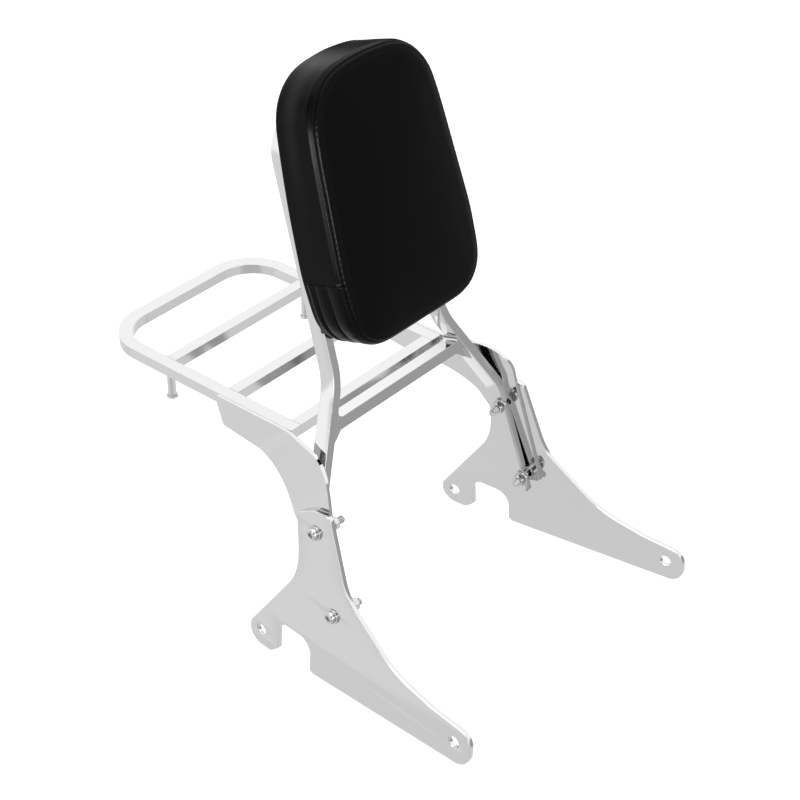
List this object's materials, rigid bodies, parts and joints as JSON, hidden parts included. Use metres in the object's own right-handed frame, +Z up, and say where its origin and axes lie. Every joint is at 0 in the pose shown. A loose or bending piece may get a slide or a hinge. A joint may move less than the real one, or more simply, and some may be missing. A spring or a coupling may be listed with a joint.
{
  "type": "sissy bar",
  "caption": "Motorcycle passenger backrest: splayed side plates, bent flat-bar upright with a padded backrest, and a slatted luggage rack carried behind it on bent arms.",
  "frame": {"origin": "on the machine's middle plane, on the common axis of the two rear mounting holes", "axes": "+X across the machine towards its left side, +Y to the rear, +Z up; the rack's top is level"},
  "size_m": [0.3822, 0.5892, 0.6397],
  "materials": {
    "chrome": "polished chrome plate over steel",
    "hardware": "bright zinc and chrome plated fasteners",
    "vinyl": "smooth black vinyl over foam, semi-matte",
    "board": "black moulded backing board",
    "black_steel": "black powder coat"
  },
  "bodies": {
    "root": {"side_plate_right": "chrome", "side_plate_left": "chrome", "upright_loop": "chrome", "upright_crossbar": "chrome", "rack_rail": "chrome", "rack_slat_rear": "chrome", "rack_slat_middle": "chrome", "rack_slat_front": "chrome", "rack_arm_right": "chrome", "rack_arm_left": "chrome", "rack_posts": "chrome", "rack_post_feet": "hardware", "bolts_upper": "hardware", "bolts_lower": "hardware", "washers_outer": "hardware", "spacers_lower": "hardware", "washers_inner": "hardware", "nuts": "hardware", "pad_cushion": "vinyl", "pad_board": "board", "pad_straps": "black_steel", "pad_screws": "hardware"}
  },
  "joints": []
}
